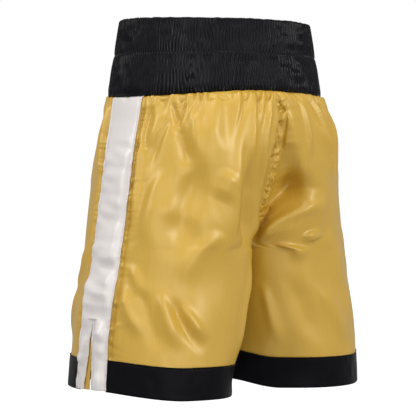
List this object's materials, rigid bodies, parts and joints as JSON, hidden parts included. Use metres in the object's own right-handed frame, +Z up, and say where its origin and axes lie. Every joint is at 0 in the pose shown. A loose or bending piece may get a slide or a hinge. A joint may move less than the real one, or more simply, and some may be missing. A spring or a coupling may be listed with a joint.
{
  "type": "boxing shorts",
  "caption": "Loose satin boxing shorts, filled out as worn: wide shirred elastic waistband, contrast side stripes that open in slits, and contrast hem bands.",
  "frame": {"origin": "centre of the waist opening, level with the top edge of the waistband", "axes": "+Z up, -Y to the front, +X to the wearer's left"},
  "size_m": [0.4388, 0.2706, 0.4917],
  "materials": {
    "gold_satin": "satin",
    "white_satin": "satin",
    "black_satin": "satin",
    "black_shirring": "satin",
    "elastic_web": "matte"
  },
  "bodies": {
    "root": {"waistband_cover": "black_shirring", "waistband_upper_elastic": "elastic_web", "waistband_lower_elastic": "elastic_web", "front_left_panel": "gold_satin", "back_left_panel": "gold_satin", "left_side_stripe": "white_satin", "hem_band_front_left": "black_satin", "hem_band_back_left": "black_satin", "front_right_panel": "gold_satin", "back_right_panel": "gold_satin", "right_side_stripe": "white_satin", "hem_band_front_right": "black_satin", "hem_band_back_right": "black_satin"}
  },
  "joints": []
}
